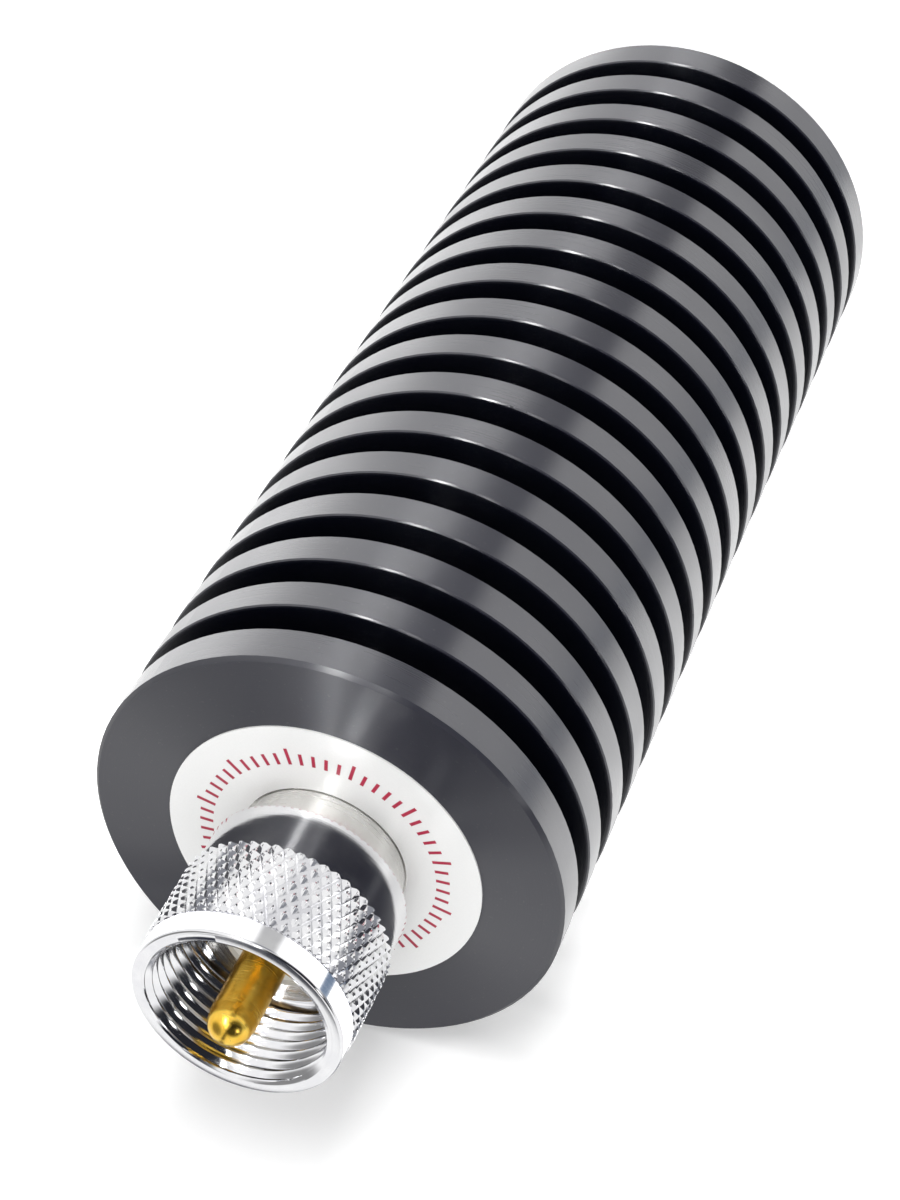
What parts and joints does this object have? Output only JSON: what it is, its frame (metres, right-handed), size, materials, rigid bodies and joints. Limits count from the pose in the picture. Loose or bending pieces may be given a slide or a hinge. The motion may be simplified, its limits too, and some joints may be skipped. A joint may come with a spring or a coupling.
{
  "type": "rf dummy load",
  "caption": "Round black finned heat sink that ends a coaxial line, with a UHF plug and knurled coupling nut on its front face and a 50 ohm resistor inside.",
  "frame": {"origin": "centre of the rear face, on which the part stands", "axes": "+Z along the body's axis towards the plug; the part is round about Z"},
  "size_m": [0.042, 0.042, 0.1242],
  "materials": {
    "black_anodised": "black anodised, turned, satin",
    "silver_label": "silver-white film, satin",
    "polished_plate": "polished nickel plate on brass",
    "bright_plate": "bright nickel plate on brass, knurled",
    "gold_plate": "gold plated",
    "white_ptfe": "white PTFE",
    "screw_steel": "plain steel",
    "spring_bronze": "spring bronze",
    "silver_plate": "silver plated brass",
    "resistor_film": "dark resistance film on ceramic"
  },
  "bodies": {
    "load": {"heat_sink": "black_anodised", "face_label": "silver_label", "connector_shell": "polished_plate", "flange_screws": "screw_steel", "nut_snap_ring": "spring_bronze", "center_pin": "gold_plate", "front_insulator": "white_ptfe", "rear_insulator": "white_ptfe", "resistor_front_cap": "silver_plate", "resistor_rod": "resistor_film", "resistor_rear_cap": "silver_plate", "ground_collet": "spring_bronze"},
    "nut": {"coupling_nut": "bright_plate"}
  },
  "joints": [
    {"name": "nut_turn", "type": "hinge", "parent": "load", "child": "nut", "pos_m": [0, 0, 0.11635], "axis": [0, 0, 1], "continuous": true}
  ]
}
